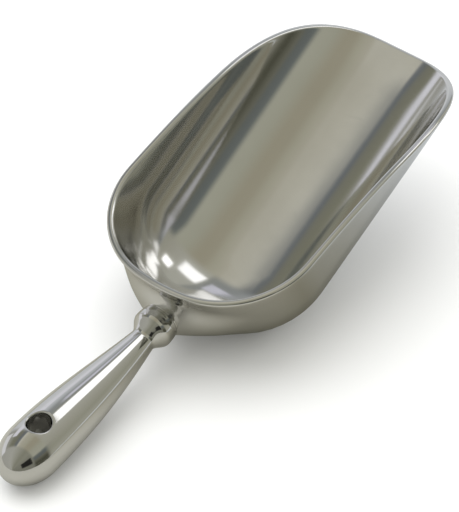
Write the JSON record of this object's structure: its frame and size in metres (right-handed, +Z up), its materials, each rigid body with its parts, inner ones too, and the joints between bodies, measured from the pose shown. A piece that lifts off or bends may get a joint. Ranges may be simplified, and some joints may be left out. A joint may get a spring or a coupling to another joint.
{
  "type": "ice scoop",
  "caption": "Cast aluminium ice scoop with a round-bottomed trough bowl, a falling rim and a solid tapering handle with a hanging hole.",
  "frame": {"origin": "on the table, under the middle of the scoop as it rests on its heel and on the end of its handle", "axes": "+X to the lip, +Y to the left seen from the handle, +Z up"},
  "size_m": [0.26, 0.0944, 0.0631],
  "materials": {
    "polished_aluminium": "polished all over, with fine buffing lines"
  },
  "bodies": {
    "root": {"bowl": "polished_aluminium", "handle": "polished_aluminium"}
  },
  "joints": []
}
